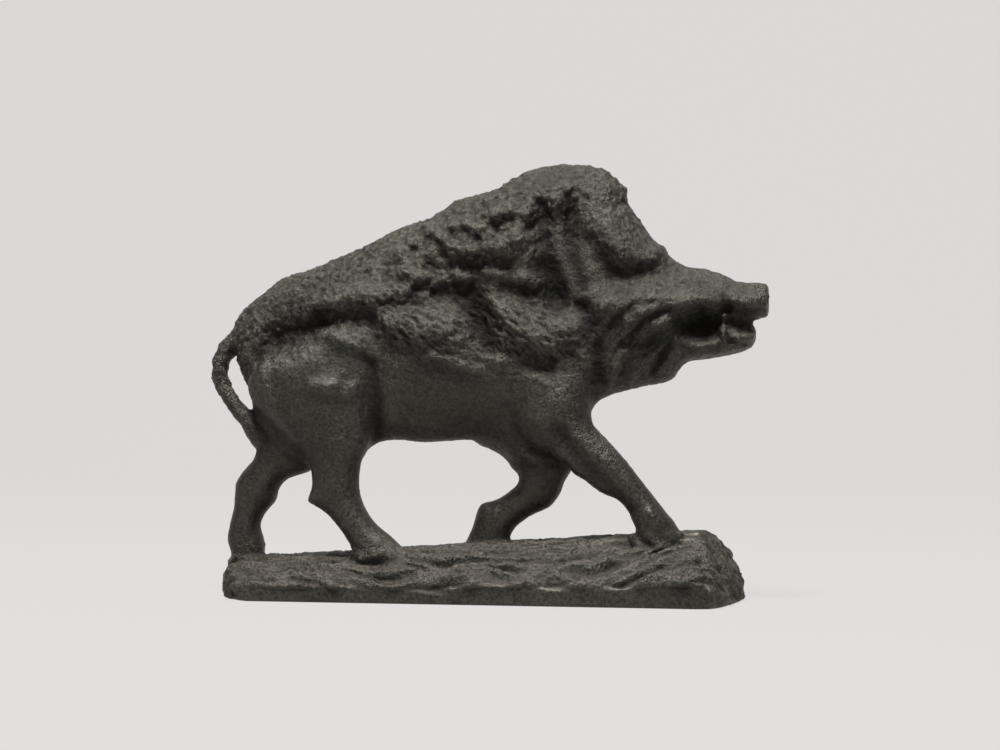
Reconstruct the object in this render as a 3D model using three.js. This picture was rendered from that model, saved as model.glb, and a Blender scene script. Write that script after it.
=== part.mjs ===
// A walking wild boar in cast iron, cast in one piece with the strip of rough ground under its feet.
// Millimetres, +Z up. The boar walks towards +X, and its right side, the near one, faces -Y.
// The origin is under the middle of the figure, on the surface that it stands on.
// The form is a field: a number at each point that tells how deep the point lies in the iron, below zero
// outside it. The surface is where the field is zero, meshed on a grid of tetrahedra and then thinned out.
import * as THREE from "three";

// Sizes of the casting as a whole.
const GROUND_HALF_DEPTH = 24;
const SIDE_DRAFT = 0.05; // how much the ground's upright sides lean in, for each millimetre of height
const GROUND_REAR = -99;

// The plain upright band round the ground's foot and the crown along its middle: the height at the rear
// end, and the rise along X.
const BAND = { rear: 4.6, rise: 0.02 };
const CROWN = { rear: 13.6, rise: 0.0706 };

// How softly the pieces of the form run into each other.
const LIMB_BLEND = 5;
const EAR_BLEND = 3;
const FOOT_BLEND = 2.4;
const TAIL_BLEND = 1.5;
const GROUND_EDGE_BLEND = 1.6;

// Carving fades out near the middle plane, so that it leaves the outline alone.
const CARVING_FROM = 1.5;
const CARVING_FULL = 6;

// Sampling grid and the size of the finished mesh.
const CELL = 1.6;
const BOX = { x: [-112, 112], y: [-26.8, 26.8], z: [-0.8, 168] };
const TRIANGLES = 9400;

// Padded shapes seen from the near side. The outline is [x, z] in order round the shape, middle is the y of
// the shape's own middle plane, and swell sets how fast its thickness grows inwards from the outline.
const SHAPES = {
  trunk: {
    middle: 0,
    swell: 7,
    outline: [
      [-98, 105], [-93.5, 111.5], [-88, 116], [-78.5, 122.5], [-66.5, 126.5], [-50, 133], [-33, 141],
      [-21, 145], [-11.5, 151], [5, 156], [13, 160.5], [23.5, 164], [33, 164.5], [44.5, 163], [50.5, 159],
      [54.2, 154.5], [54.8, 150], [59, 144], [65, 135.5], [68.5, 133], [72, 128.5], [76, 126], [85, 124.5],
      [90, 123], [96, 120], [105, 119], [107, 117], [107, 110], [105.5, 107], [101.5, 105], [103, 101],
      [102, 96.5], [98, 94], [86.5, 91.5], [76.5, 89.5], [71.5, 83.5], [61.5, 81], [48, 77.5], [43, 74.5],
      [40, 70], [39, 63.5], [33, 56], [21.5, 52.5], [12, 54.5], [5, 59], [-3.5, 60.5], [-21, 59.5],
      [-39, 60], [-48, 55.5], [-58.5, 50], [-67.5, 51.5], [-77, 58], [-86.5, 66], [-91, 75], [-93.5, 81.5],
      [-96, 88], [-98, 95],
    ],
  },
  nearHindLeg: {
    middle: -9,
    swell: 7,
    outline: [
      [-89.5, 78.5], [-88, 86.5], [-82, 93], [-72, 97.5], [-60, 99], [-50.5, 96.5], [-43.5, 90],
      [-41, 79.5], [-41.5, 68], [-43, 58], [-46, 52], [-46.8, 45.5], [-46.3, 39.5], [-44.3, 34.5],
      [-40, 28.5], [-34.5, 24], [-30, 20], [-27, 15], [-31, 11.5], [-44.5, 10.5], [-49, 14], [-49, 18.5],
      [-52.5, 24.5], [-56, 29], [-59.5, 32.5], [-64, 35.5], [-66.5, 37], [-65, 42.5], [-65, 47.5],
      [-67, 54.5], [-73, 62], [-82, 69.5],
    ],
  },
  farHindLeg: {
    middle: 5,
    swell: 7,
    outline: [
      [-89.5, 75.5], [-89.5, 82], [-84, 90.5], [-74, 96], [-61, 97.5], [-50.5, 91.5], [-48, 82],
      [-51, 70.5], [-57, 61], [-63, 53.5], [-69.5, 48], [-73.5, 46.5], [-78, 45], [-82, 41.5],
      [-83.5, 36.5], [-87, 32.5], [-89, 29], [-89.7, 26], [-88.6, 22], [-88, 18.5], [-88.5, 14.5],
      [-86.5, 10], [-94.5, 7.5], [-100.5, 9.5], [-101, 16], [-102.5, 21.5], [-101.5, 27.5], [-100, 33.5],
      [-99.5, 39.5], [-99, 43.5], [-96.5, 47.5], [-92.5, 52], [-91, 55.5], [-92.5, 60], [-96, 65.5],
    ],
  },
  nearForeleg: {
    middle: -8,
    swell: 7,
    outline: [
      [41.5, 71], [42.5, 67], [47, 62], [53.5, 55], [62, 44.5], [69, 35.5], [73.5, 30], [75.5, 25.5],
      [73.5, 20.5], [64, 18], [58, 21], [57.5, 24.5], [59, 27.5], [56.5, 32], [52.5, 37], [45.5, 41],
      [39.5, 45.5], [35.5, 48], [30, 52], [23, 58], [16.5, 67], [14.5, 77.5], [17.5, 87], [25.5, 91.5],
      [35, 89.5], [40, 81.5],
    ],
  },
  farForeleg: {
    middle: 7,
    swell: 7,
    outline: [
      [-4, 60], [2.5, 56], [7.5, 52.5], [9.5, 49.5], [12, 47], [12, 44], [9, 41], [3.5, 37.5], [-2.4, 35.5],
      [-4.2, 32], [-5.7, 27], [-7.7, 22.5], [-9, 18.5], [-3, 15], [6.5, 15], [9.5, 19], [8.5, 22.5],
      [10.5, 26.5], [16, 31], [24, 35], [28, 40], [30, 45], [32.5, 49], [36, 56], [39, 66], [38, 78],
      [33, 87], [22, 90], [12.5, 85], [9, 75],
    ],
  },
};

// The ears stand on both sides of the head, leaning in towards their tips.
const EAR = {
  swell: 1.8,
  foot: { z: 117, y: 13 },
  lean: 0.1,
  outline: [
    [39, 118], [35, 126], [32, 136], [29.5, 146], [29, 152.5], [30.5, 156.5], [33.5, 156.5],
    [36, 151.5], [36.5, 141], [38.5, 130.5], [41.5, 121.5],
  ],
};

// The tail hangs in a loop from the rump to the far thigh: its middle line, [x, z, radius].
const TAIL = [
  [-93.5, 101, 4.8], [-100, 96.5, 3.8], [-103.7, 91, 3.3], [-104.5, 85, 3.2], [-102.7, 79.5, 3],
  [-98.5, 73.5, 3], [-93, 67.5, 3.4], [-88, 61, 4.5],
];

// The snout ends in a flat disc with two nostrils.
const DISC = { x: 103.2, z: 112.8, radius: 6.2, halfLength: 4, round: 1.2 };
const NOSTRIL = { z: 113.4, y: 2.5, radius: 1.5, round: 0.5 };

// Strokes of carving on the flanks. A path is [x, z, half width] along the stroke, and height is how far
// the widest place stands out or, below zero, is cut in. A side of -1 is the near flank alone.
const CARVING = {
  hipRidge: {
    path: [
      [-67.5, 107.5, 2.4], [-63, 111.5, 3.6], [-56, 113, 4.6], [-48, 115.5, 5], [-39, 116, 4.4],
      [-29, 116, 3],
    ],
    height: 3,
  },
  hipHollow: { path: [[-85, 93, 4], [-78.5, 98.5, 7], [-71.5, 101.5, 7], [-62, 103.5, 5]], height: -3.6 },
  underHip: { path: [[-61.5, 106.5, 3.4], [-50.5, 107, 4], [-41, 105, 3.4]], height: -1.7 },
  thighTop: { path: [[-60.5, 101, 2.4], [-52.5, 99.5, 3.6], [-46, 97, 3.6], [-41, 94, 2.4]], height: 2 },
  thigh: { path: [[-63.5, 75.5, 9], [-56, 73.5, 10]], height: 0.4 },
  thighKnob: { path: [[-62, 81, 3], [-55, 80.5, 4]], height: 1.4 },
  thighSpot: { path: [[-49, 77.5, 2], [-46.5, 80.5, 2.4]], height: 0.8 },
  rumpRim: { path: [[-83, 94, 2.2], [-83, 83.5, 2.6], [-78.5, 71, 3], [-72.5, 60.5, 3]], height: 0.9 },
  flankFold: { path: [[-42.5, 95.5, 2.4], [-40.5, 88, 3.6], [-39.5, 76, 4.2], [-40, 62, 3]], height: -1.5 },
  ribs: { path: [[-30.5, 105, 6], [-20.5, 101.5, 8], [-11, 101, 6.4]], height: 3 },
  ribsLow: { path: [[-16.5, 92, 2.8], [-8, 89.5, 3.4], [-1, 87, 2]], height: 1.3 },
  ribsRear: { path: [[-39.5, 112.5, 1.8], [-34, 105, 2.4], [-29, 97, 1.8]], height: 1.1 },
  ribStreak: { path: [[-0.5, 94, 1.6], [8, 90.5, 2.2]], height: 1 },
  ribHollow: {
    path: [[-20.5, 115.5, 4], [-12, 115.5, 5.6], [-3.5, 114.5, 7], [0.5, 105, 7], [4, 94.5, 4.4]],
    height: -4.8,
  },
  shoulderHollow: {
    path: [[11, 117.5, 4], [20.5, 114.5, 6], [31.5, 112.5, 6.2], [39.5, 110.5, 4]],
    height: -3.4,
  },
  shoulderEdge: {
    path: [[6, 113, 2.2], [11, 107, 3.2], [17, 100.5, 4], [23.5, 96, 4], [30.5, 94.5, 3]],
    height: 1.8,
  },
  shoulder: { path: [[26.5, 99.5, 6], [33.5, 101, 5.4]], height: 2.2 },
  underShoulder: { path: [[7, 97.5, 3], [14.5, 91, 4], [27, 88, 4]], height: -0.9 },
  mane: { path: [[-12.5, 136, 8], [5, 141, 13], [16, 135.5, 13]], height: 2 },
  underMane: { path: [[-19, 126, 3], [-11, 126, 4], [-1, 126, 4]], height: -1.4 },
  maneEdge: { path: [[3.5, 126.5, 3], [13, 125.5, 4.4], [25.5, 123.5, 5.4], [32, 117.5, 4]], height: -1.8 },
  earGroove: {
    path: [[23.5, 148, 3], [24, 142, 5], [25, 133, 5.6], [27, 122.5, 5.6], [29, 113, 4]],
    height: -5,
  },
  earHollow: {
    path: [[34, 151.5, 2.4], [34.5, 145.5, 4.4], [35, 137, 5], [36.5, 127, 4.4], [39, 118, 3]],
    height: -4,
  },
  earTip: { path: [[26, 154, 3.4], [29.5, 149, 2.6]], height: 1 },
  crest: { path: [[41.5, 156.5, 4], [47, 153.5, 4.4]], height: 1.2 },
  brow: { path: [[48.5, 138, 6.4], [55, 133, 7.4], [62, 131, 5]], height: 3.2 },
  temple: { path: [[42.5, 135, 3.6], [46, 129, 4.4], [50.5, 124, 3.6]], height: -2.2 },
  browEdge: { path: [[52, 128, 1.8], [59, 127.5, 2.4], [65.5, 128.5, 2]], height: 0.8 },
  eyeFurrow: { path: [[43, 120.5, 3.4], [54.5, 122, 5], [65.5, 123.5, 4.6], [73, 125, 2.8]], height: -1.7 },
  snoutSide: { path: [[61, 113, 5], [76, 112.5, 5], [89, 112.5, 4.4]], height: 2.8 },
  snoutEnd: { path: [[95.5, 112.5, 3.4], [103.5, 112.5, 3]], height: 1.6 },
  snoutNotch: { path: [[91.5, 114, 1.6], [93, 110.5, 1.8]], height: -1.6 },
  cheek: { path: [[49, 110.5, 5], [62, 107, 6], [70, 104, 4]], height: 2.6 },
  cheekFurrowHigh: {
    path: [[66.5, 112, 1.1], [59.5, 110.5, 1.4], [54, 107.5, 1.4], [49.5, 102.5, 1.1]],
    height: -1,
  },
  cheekFurrowLow: {
    path: [[72, 109.5, 1.1], [66.5, 107.5, 1.4], [61.5, 104, 1.4], [57.5, 99, 1.1]],
    height: -1.1,
  },
  cheekLockHigh: {
    path: [[67.5, 109.5, 1.2], [61.5, 107.5, 1.6], [56.5, 103.5, 1.6], [53, 99, 1]],
    height: 0.9,
  },
  cheekLockLow: { path: [[71, 105, 1.4], [66.5, 102, 2], [62, 99, 1.4]], height: 1.2 },
  cheekLockRear: { path: [[54.5, 114, 1.2], [49, 112, 1.7], [45.5, 108, 1.2]], height: 1.1 },
  cheekLockBack: { path: [[49, 106.5, 1.1], [46, 102.5, 1.5], [43, 97.5, 1]], height: 0.9 },
  neckFurrow: { path: [[39, 111, 2.6], [42, 103.5, 4], [44.5, 94.5, 4.2], [45, 84, 2.6]], height: -2.2 },
  underCheek: {
    path: [[54.5, 97, 2.4], [63.5, 97, 3], [71.5, 99.5, 2.6], [75.5, 104.5, 1.8]],
    height: -1.1,
  },
  throatLockFront: { path: [[66.5, 93.5, 1], [61, 88.5, 1.8], [56.5, 82.5, 1]], height: 1 },
  throatLockBack: { path: [[55.5, 93.5, 1], [51.5, 88, 1.8], [48.5, 81, 1]], height: 1 },
  jaw: { path: [[72, 92, 2.4], [84, 93.5, 3], [96.5, 96, 2.4]], height: 1.3 },
  jawFold: { path: [[71.5, 96, 1.2], [68.5, 91.5, 1.9], [64.5, 86, 1.2]], height: -1.6 },
  mouthRecess: { path: [[77.5, 103.5, 4.4], [84.5, 105.5, 6], [90.5, 108, 4.4]], height: -2.6 },
  mouthPit: { path: [[80.5, 103, 3.8], [84, 103.5, 5.2], [87.5, 104, 4.2]], height: -3.2 },
  mouthRim: { path: [[77.5, 97.5, 1.3], [83, 96, 1.8], [89, 97.5, 1.3]], height: 0.9 },
  mouthGap: { path: [[91.5, 104.5, 2], [98, 104, 2.8], [105, 103.5, 2.4]], height: -3 },
  underSnout: { path: [[91, 109.5, 1.8], [98.5, 108.5, 2.2], [104, 108.5, 1.6]], height: -1.6 },
  tusk: { path: [[91.5, 99, 1.3], [91, 103, 1.8], [91.5, 107, 1.3]], height: 3 },
  lip: { path: [[96.5, 99, 1.8], [101.5, 99.5, 1.8]], height: 1.3 },
  lipFold: { path: [[94, 97.5, 0.8], [98.5, 96.5, 1]], height: -0.9 },
  breast: { path: [[31.5, 76, 6], [25.5, 68.5, 7]], height: 1 },
  forelegHollow: { path: [[19, 56.5, 2], [25.5, 53, 4], [33.5, 50, 2]], height: -1.8, side: -1 },
  fetlock: { path: [[65, 34.5, 1.8], [67.5, 31, 2.2]], height: 0.9 },
  browTop: { path: [[46, 147.5, 6], [52, 144, 6]], height: 1.4 },
  forelegFlat: { path: [[31.5, 63.5, 3.6], [43, 50, 4.4], [57.5, 35.5, 3.6]], height: -1.3, side: -1 },
};

// The tufts of the mane and the pits between them, [x, z, radius], as rounded lumps and dents.
const TUFTS = [
  [-15.5, 138, 2.8], [-12.5, 135.5, 2.4], [-8, 132.5, 3.2], [-2.5, 131, 3.2], [4, 133, 3.8],
  [10, 132, 3.8], [6.5, 145.5, 4], [11.5, 147.5, 3.6], [1, 139.5, 3], [-4.5, 143, 2.8], [-10, 141.5, 2.6],
  [-20, 140.5, 2.8], [-25.5, 136.5, 2.8], [-30.5, 131.5, 2.6], [3.5, 124, 2.2], [8.5, 123, 2.4],
  [17.5, 121.5, 2.8], [22, 120, 3], [-7.5, 122, 2.2], [-4, 121.5, 2.2], [-28, 124.5, 3.4], [-23, 122, 3],
  [-26, 117.5, 3], [-20.5, 115, 2.4], [15.5, 136, 3.2], [18.5, 145.5, 3.2],
];
const PITS = [[7.5, 138, 2.2], [0.5, 135.5, 1.8], [-19, 127.5, 1.8], [-13.5, 130, 1.8]];

// A tuft hangs over a hollow of its own. These are shares of the tuft's radius, and of the pit's.
const TUFT = { height: 0.55, hollowDepth: 0.2, hollowBelow: 1.25, hollowRadius: 0.75 };
const PIT_DEPTH = 0.3;

// The ground's outline in plan, [x, y], where its ends reach farthest. Each end draws back from there with
// the square of the height above or below its widest level.
const GROUND_OUTLINE = [
  [-88.5, -24], [-85.5, -24], [80, -24], [83, -24], [87.5, -23], [90.5, -19], [93.3, -10], [95.6, 0.5],
  [96.8, 11], [96.2, 19], [91.5, 24], [88.5, 24], [-85, 24], [-88, 24], [-94, 21], [-98, 14], [-99.5, 6],
  [-99.6, -3], [-98.3, -12], [-94.5, -19.5],
];
const FRONT_END = { widest: 0, bend: 0.017 };
const REAR_END = { widest: 6, bend: 0.04 };

// Ridges and furrows on the ground, in plan: a path of [x, y, half width] and a height.
const GROUND_CARVING = [
  { path: [[-84, -19, 1.2], [-69, -14, 1.6], [-52, -11, 1.2]], height: -1.1 },
  { path: [[-51, -16, 1.2], [-31, -21, 1.8], [-12, -24, 1.6]], height: -1.7 },
  { path: [[-23, -15.5, 1.4], [-16, -21, 2.2], [-10, -24, 1.6]], height: -1.8 },
  { path: [[-47, -12, 1.4], [-29, -16, 2], [-8, -22, 1.6]], height: 1 },
  { path: [[-86, -21.5, 1.2], [-71, -19.5, 1.8], [-55, -21, 1.2]], height: 0.8 },
  { path: [[-1, -14, 1.4], [15, -19, 1.9], [33, -23, 1.2]], height: -1.3 },
  { path: [[-7, -18, 1.6], [7, -22, 2.2], [18, -24, 1.4]], height: 0.9 },
  { path: [[28, -23, 1.2], [43, -20, 1.9], [61, -16, 1.4]], height: -1.5 },
  { path: [[44, -24, 1.4], [62, -20, 2.1], [83, -17, 1.4]], height: -1.6 },
  { path: [[47, -22, 1.6], [65, -18, 2.4], [80, -16, 1.6]], height: 1 },
  { path: [[16, -15, 1.4], [42, -14.5, 2], [61, -11, 1.2]], height: -1.1 },
  { path: [[66, -23, 1.6], [80, -21, 2.6]], height: 1 },
  { path: [[83, -17, 2.4], [88, -21, 4]], height: -2.6 },
  { path: [[-80, 18, 1.4], [-50, 14, 2.4], [-24, 17, 1.4]], height: -1.2 },
  { path: [[-10, 12, 1.4], [20, 19, 2.4], [48, 13, 1.4]], height: -1.2 },
  { path: [[30, 20, 2], [66, 17, 2.8]], height: 1 },
];

// How the form is worked out.
const SPAN_STEPS = 5; // straight pieces for each span of an outline
const OUTSIDE = -20; // the field's floor, far from every shape
const ON_OUTLINE = 1e-9; // a point this close to an outline lies on it
const LEAST_DEPTH = 0.06; // the smallest value on the grid, in cells, which keeps sliver triangles away

// How the mesh is thinned out.
const LENGTH_COST = 2e-3; // what a collapsed edge costs for each square millimetre of its length
const STEADY = 4e-3; // the pull of a new vertex towards the middle of its edge
const FARTHEST = 0.7; // how far from there it may come to lie, in lengths of the edge
const LEAST_SHAPE = 0.06; // twice a triangle's area, over its longest side squared
const LEAST_TURN = 0.25; // the cosine of the most that a triangle may turn
const FLAT_WITHIN = 0.05; // vertices this near the underside are put on it

// Two depths joined as one body, rounded over the length k where they meet.
function join(a, b, k) {
  const near = Math.max(k - Math.abs(a - b), 0) / k;
  return Math.max(a, b) + (near * near * k) / 4;
}

// What two depths have in common, rounded in the same way.
const common = (a, b, k) => -join(-a, -b, k);

// A closed smooth outline as a ring of points, counter-clockwise.
function ring(outline) {
  const corners = outline.map(([u, v]) => new THREE.Vector3(u, v, 0));
  const curve = new THREE.CatmullRomCurve3(corners, true, "centripetal");
  const points = curve.getPoints(outline.length * SPAN_STEPS).slice(0, -1);
  return THREE.ShapeUtils.isClockWise(points) ? points.reverse() : points;
}

// A smooth stand-in for the distance from (x, z) to a ring, above zero inside it. It is two over the sum of
// the ring's mean value weights, which has no creases.
function inset(points, x, z) {
  let sum = 0;
  const last = points[points.length - 1];
  let ax = last.x - x;
  let az = last.y - z;
  let a = Math.hypot(ax, az);
  for (const point of points) {
    const bx = point.x - x;
    const bz = point.y - z;
    const b = Math.hypot(bx, bz);
    const facing = a * b + ax * bx + az * bz;
    if (facing < ON_OUTLINE) return 0;
    sum += ((1 / a + 1 / b) * (ax * bz - az * bx)) / facing;
    [ax, az, a] = [bx, bz, b];
  }
  return 2 / sum;
}

// Distance from a point to a path of straight pieces, and where along it the nearest place is.
function nearest(path, u, v) {
  let best = { distance: Infinity, piece: 0, share: 0 };
  for (let i = 0; i + 1 < path.length; i++) {
    const [au, av] = path[i];
    const du = path[i + 1][0] - au;
    const dv = path[i + 1][1] - av;
    const share = THREE.MathUtils.clamp(((u - au) * du + (v - av) * dv) / (du * du + dv * dv), 0, 1);
    const distance = Math.hypot(u - au - share * du, v - av - share * dv);
    if (distance < best.distance) best = { distance, piece: i, share };
  }
  return best;
}

// How much one stroke of carving adds at a point of its plane.
function stroke({ path, height }, u, v) {
  const { distance, piece, share } = nearest(path, u, v);
  const width = THREE.MathUtils.lerp(path[piece][2], path[piece + 1][2], share);
  const widest = Math.max(...path.map((point) => point[2]));
  return height * (width / widest) * Math.exp(-((distance / width) ** 2));
}

// Depth in a padded shape whose inset is known, at a distance off from its middle plane.
function padded(swell, insetHere, off) {
  return Math.max(OUTSIDE, (2 * swell * insetHere - off * off) / (2 * Math.hypot(swell, off)));
}

// What is the same for every y: the insets of the outlines, the tail and the carving, at one (x, z).
const rings = Object.values(SHAPES).map(({ outline, ...rest }) => ({ ...rest, points: ring(outline) }));
const earRing = ring(EAR.outline);
const strokes = Object.values(CARVING);
const lumps = [
  ...TUFTS.map(([x, z, radius]) => ({ x, z, radius, height: TUFT.height * radius })),
  ...TUFTS.map(([x, z, radius]) => ({
    x,
    z: z - TUFT.hollowBelow * radius,
    radius: TUFT.hollowRadius * radius,
    height: -TUFT.hollowDepth * radius,
  })),
  ...PITS.map(([x, z, radius]) => ({ x, z, radius, height: -PIT_DEPTH * radius })),
];

function column(x, z) {
  const tail = nearest(TAIL, x, z);
  const [from, to] = [TAIL[tail.piece][2], TAIL[tail.piece + 1][2]];
  const carved = { near: 0, far: 0 };
  const carve = (height, side) => {
    carved.near += height;
    if (side !== -1) carved.far += height;
  };
  for (const one of strokes) carve(stroke(one, x, z), one.side);
  for (const one of lumps) {
    carve(one.height * Math.exp(-((x - one.x) ** 2 + (z - one.z) ** 2) / one.radius ** 2));
  }
  return {
    insets: rings.map(({ points }) => inset(points, x, z)),
    ear: inset(earRing, x, z),
    tail: { distance: tail.distance, radius: THREE.MathUtils.lerp(from, to, tail.share) },
    carved,
  };
}

// Depth in the ground, a slab with bowed ends, an upright band round its foot and a rough domed top.
const groundRing = ring(GROUND_OUTLINE);

function ground(x, y, z) {
  const end = x > 0 ? FRONT_END : REAR_END;
  const drawnBack = Math.sign(x) * end.bend * (z - end.widest) ** 2;
  const plan = inset(groundRing, x + drawnBack, y) - SIDE_DRAFT * z;
  const band = BAND.rear + BAND.rise * (x - GROUND_REAR);
  const crown = CROWN.rear + CROWN.rise * (x - GROUND_REAR);
  const dome = 1 - Math.min(1, Math.abs(y) / GROUND_HALF_DEPTH) ** 2;
  let top = band + (crown - band) * dome;
  for (const one of GROUND_CARVING) top += stroke(one, x, y);
  return Math.min(common(top - z, plan, GROUND_EDGE_BLEND), z);
}

// Depth in the iron at (x, y, z), given what column says there.
function depth(here, x, y, z) {
  let iron = OUTSIDE;
  rings.forEach(({ middle, swell }, i) => {
    iron = join(iron, padded(swell, here.insets[i], y - middle), LIMB_BLEND);
  });
  iron = join(iron, here.tail.radius - Math.hypot(here.tail.distance, y), TAIL_BLEND);
  const earMiddle = EAR.foot.y - EAR.lean * (z - EAR.foot.z);
  iron = join(iron, padded(EAR.swell, here.ear, Math.abs(y) - earMiddle), EAR_BLEND);
  const shown = THREE.MathUtils.smoothstep(Math.abs(y), CARVING_FROM, CARVING_FULL);
  iron += shown * (y < 0 ? here.carved.near : here.carved.far);
  const disc = common(
    DISC.radius - Math.hypot(y, z - DISC.z),
    DISC.halfLength - Math.abs(x - DISC.x),
    DISC.round,
  );
  iron = join(iron, disc, DISC.round);
  const front = DISC.x + DISC.halfLength;
  const nostril = NOSTRIL.radius - Math.hypot(x - front, Math.abs(y) - NOSTRIL.y, z - NOSTRIL.z);
  iron = common(iron, -nostril, NOSTRIL.round);
  return join(iron, ground(x, y, z), FOOT_BLEND);
}

// The field on a grid. No value is so near zero that a cut comes very close to a grid point.
function sample() {
  const size = ["x", "y", "z"].map((axis) => Math.round((BOX[axis][1] - BOX[axis][0]) / CELL) + 1);
  const [nx, ny, nz] = size;
  const values = new Float64Array(nx * ny * nz);
  const place = (i, j, k) => [BOX.x[0] + i * CELL, BOX.y[0] + j * CELL, BOX.z[0] + k * CELL];
  const least = LEAST_DEPTH * CELL;
  for (let i = 0; i < nx; i++) {
    for (let k = 0; k < nz; k++) {
      const [x, , z] = place(i, 0, k);
      const here = column(x, z);
      for (let j = 0; j < ny; j++) {
        const value = depth(here, x, place(i, j, k)[1], z);
        values[(i * ny + j) * nz + k] = Math.abs(value) < least ? (value < 0 ? -least : least) : value;
      }
    }
  }
  return { size, values, place };
}

// The surface where the field is zero, by cutting the six tetrahedra of each cube of the grid.
function surface({ size: [nx, ny, nz], values, place }) {
  const axisSteps = [ny * nz, nz, 1];
  const orders = [[0, 1, 2], [0, 2, 1], [1, 0, 2], [1, 2, 0], [2, 0, 1], [2, 1, 0]];
  const tetrahedra = orders.map(([a, b]) => [
    0,
    axisSteps[a],
    axisSteps[a] + axisSteps[b],
    axisSteps[0] + axisSteps[1] + axisSteps[2],
  ]);
  const at = (n) => place(Math.floor(n / (ny * nz)), Math.floor(n / nz) % ny, n % nz);
  const points = [];
  const triangles = [];
  const cuts = new Map();
  const cut = (inside, outside) => {
    const key = Math.min(inside, outside) * values.length + Math.max(inside, outside);
    if (!cuts.has(key)) {
      const share = values[inside] / (values[inside] - values[outside]);
      const [a, b] = [at(inside), at(outside)];
      cuts.set(key, points.length);
      points.push(a.map((v, axis) => v + share * (b[axis] - v)));
    }
    return cuts.get(key);
  };
  const face = (a, b, c, inside, outside) => {
    const [p, q, r] = [points[a], points[b], points[c]].map((v) => new THREE.Vector3(...v));
    const normal = q.clone().sub(p).cross(r.clone().sub(p));
    const outward = new THREE.Vector3(...at(outside)).sub(new THREE.Vector3(...at(inside)));
    triangles.push(normal.dot(outward) > 0 ? [a, b, c] : [a, c, b]);
  };
  for (let i = 0; i + 1 < nx; i++) {
    for (let j = 0; j + 1 < ny; j++) {
      for (let k = 0; k + 1 < nz; k++) {
        const corner = (i * ny + j) * nz + k;
        for (const steps of tetrahedra) {
          const ends = steps.map((step) => corner + step);
          const inside = ends.filter((n) => values[n] > 0);
          const outside = ends.filter((n) => values[n] <= 0);
          if (!inside.length || !outside.length) continue;
          const [a, b] = inside;
          const [c, d] = outside;
          if (inside.length === 1) face(...outside.map((n) => cut(a, n)), a, c);
          else if (outside.length === 1) face(...inside.map((n) => cut(n, c)), a, c);
          else {
            const quad = [cut(a, c), cut(a, d), cut(b, d), cut(b, c)];
            face(quad[0], quad[1], quad[2], a, c);
            face(quad[0], quad[2], quad[3], a, c);
          }
        }
      }
    }
  }
  return { points, triangles };
}

// A heap of edges to collapse, cheapest first.
class Queue {
  items = [];
  get size() {
    return this.items.length;
  }
  push(item) {
    const { items } = this;
    let at = items.push(item) - 1;
    while (at > 0) {
      const parent = (at - 1) >> 1;
      if (items[parent].cost <= items[at].cost) break;
      [items[parent], items[at]] = [items[at], items[parent]];
      at = parent;
    }
  }
  pop() {
    const { items } = this;
    const first = items[0];
    const last = items.pop();
    if (!items.length) return first;
    items[0] = last;
    for (let at = 0; ; ) {
      let least = at;
      for (const child of [2 * at + 1, 2 * at + 2]) {
        if (child < items.length && items[child].cost < items[least].cost) least = child;
      }
      if (least === at) return first;
      [items[least], items[at]] = [items[at], items[least]];
      at = least;
    }
  }
}

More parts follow.
